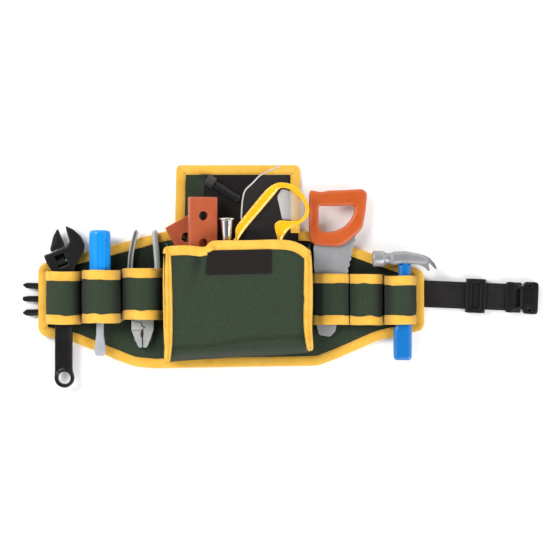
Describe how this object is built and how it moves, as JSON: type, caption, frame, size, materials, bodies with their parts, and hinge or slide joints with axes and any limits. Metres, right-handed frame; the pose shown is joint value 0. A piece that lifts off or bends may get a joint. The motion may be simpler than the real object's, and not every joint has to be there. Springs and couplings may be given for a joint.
{
  "type": "toy tool belt",
  "caption": "Child's fabric tool belt lying flat, flap pocket folded open, loops holding toy wrench, screwdriver, pliers, saw and hammer, with webbing strap and side-release buckle.",
  "frame": {"origin": "centre of the padded panel's back face, on the surface that the belt lies on", "axes": "+X along the belt towards the webbing and the female buckle, +Y towards the folded-open flap, +Z away from the wearer"},
  "size_m": [0.6221, 0.2672, 0.041],
  "materials": {
    "canvas_green": "coarse plain weave, matte",
    "binding_yellow": "ribbed woven tape",
    "foam_pad": "soft padding",
    "lining_black": "smooth lining cloth",
    "webbing_black": "ribbed webbing",
    "grip_tape_black": "hook and loop pile",
    "buckle_black": "moulded satin",
    "wrench_black": "satin",
    "pin_grey": "brushed",
    "handle_blue": "glossy moulded",
    "blade_grey": "satin",
    "pliers_silver": "metallic grey, satin",
    "saw_orange": "moulded satin",
    "saw_silver": "metallic grey, satin",
    "hammer_silver": "metallic grey, satin",
    "plank_terracotta": "moulded satin",
    "nail_chrome": "plated",
    "bolt_black": "moulded satin",
    "goggles_yellow": "glossy moulded",
    "lens_clear": "clear"
  },
  "bodies": {
    "belt": {"panel_lining": "lining_black", "panel_foam": "foam_pad", "panel_canvas": "canvas_green", "panel_binding": "binding_yellow", "flap_hinge_strip": "canvas_green", "pocket_front": "canvas_green", "pocket_gusset_left": "canvas_green", "pocket_gusset_right": "canvas_green", "pocket_mouth_binding": "binding_yellow", "pocket_edge_binding_left": "binding_yellow", "pocket_edge_binding_right": "binding_yellow", "pocket_loop_tape": "grip_tape_black", "left_loop_band": "canvas_green", "left_band_binding_top": "binding_yellow", "left_band_binding_bottom": "binding_yellow", "right_loop_band": "canvas_green", "right_band_binding_top": "binding_yellow", "right_band_binding_bottom": "binding_yellow", "webbing_right": "webbing_black", "webbing_left": "webbing_black", "buckle_female": "buckle_black", "buckle_male": "buckle_black"},
    "flap": {"flap_canvas": "canvas_green", "flap_binding": "binding_yellow", "flap_hook_tape": "grip_tape_black"},
    "tri_glide": {"tri_glide": "buckle_black"},
    "wrench": {"wrench_body": "wrench_black", "wrench_worm_pin": "pin_grey"},
    "wrench_jaw": {"wrench_jaw": "wrench_black"},
    "wrench_worm": {"wrench_worm": "wrench_black"},
    "screwdriver": {"screwdriver_handle": "handle_blue", "screwdriver_blade": "blade_grey"},
    "pliers_left": {"pliers_half_left": "pliers_silver", "pliers_rivet": "pin_grey"},
    "pliers_right": {"pliers_half_right": "pliers_silver"},
    "saw": {"saw_handle": "saw_orange", "saw_blade": "saw_silver"},
    "hammer": {"hammer_head": "hammer_silver", "hammer_handle": "handle_blue"},
    "plank_front": {"plank_front": "plank_terracotta"},
    "plank_rear": {"plank_rear": "plank_terracotta"},
    "nail": {"nail": "nail_chrome"},
    "hex_bolt": {"hex_bolt": "bolt_black"},
    "goggles": {"goggles_frame": "goggles_yellow", "goggles_lens": "lens_clear"}
  },
  "joints": [
    {"name": "flap_fold", "type": "hinge", "parent": "belt", "child": "flap", "pos_m": [0, 0.0844, 0.002], "axis": [1, 0, 0], "range_deg": [-80, 0]},
    {"name": "bolt_lift", "type": "slide", "parent": "flap", "child": "hex_bolt", "axis": [0, 0, 1], "range_m": [0, 0.06]},
    {"name": "tri_glide_slide", "type": "slide", "parent": "belt", "child": "tri_glide", "axis": [0.9992, -0.0401, 0], "range_m": [-0.025, 0.02]},
    {"name": "wrench_slide", "type": "slide", "parent": "belt", "child": "wrench", "axis": [0, 1, 0], "range_m": [0, 0.14]},
    {"name": "wrench_worm_turn", "type": "hinge", "parent": "wrench", "child": "wrench_worm", "pos_m": [-0.20442, 0.04488, 0.0116], "axis": [0.9285, 0.3714, 0], "range_deg": [-481, 61]},
    {"name": "wrench_jaw_slide", "type": "slide", "parent": "wrench", "child": "wrench_jaw", "axis": [0.9285, 0.3714, 0], "range_m": [-0.008, 0.001]},
    {"name": "screwdriver_slide", "type": "slide", "parent": "belt", "child": "screwdriver", "axis": [0, 1, 0], "range_m": [0, 0.102]},
    {"name": "pliers_slide", "type": "slide", "parent": "belt", "child": "pliers_left", "axis": [0, -1, 0], "range_m": [-0.092, 0]},
    {"name": "pliers_open", "type": "hinge", "parent": "pliers_left", "child": "pliers_right", "pos_m": [-0.1064, -0.012, 0.011], "axis": [0, 0, 1], "range_deg": [-1.2, 0]},
    {"name": "saw_slide", "type": "slide", "parent": "belt", "child": "saw", "axis": [0, 1, 0], "range_m": [0, 0.079]},
    {"name": "hammer_slide", "type": "slide", "parent": "belt", "child": "hammer", "axis": [0, 1, 0], "range_m": [0, 0.107]},
    {"name": "plank_front_slide", "type": "slide", "parent": "belt", "child": "plank_front", "axis": [0, 1, 0], "range_m": [0, 0.06]},
    {"name": "plank_rear_slide", "type": "slide", "parent": "belt", "child": "plank_rear", "axis": [-0.4848, 0.8746, 0], "range_m": [0, 0.085]},
    {"name": "nail_slide", "type": "slide", "parent": "belt", "child": "nail", "axis": [0, 0.9954, 0.0958], "range_m": [0, 0.068]},
    {"name": "goggles_slide", "type": "slide", "parent": "belt", "child": "goggles", "axis": [0.6018, 0.7986, 0], "range_m": [0, 0.06]}
  ],
  "couplings": [
    {"joint": "wrench_worm_turn", "follows": "wrench_jaw_slide", "rad_per_m": 1047.2}
  ]
}
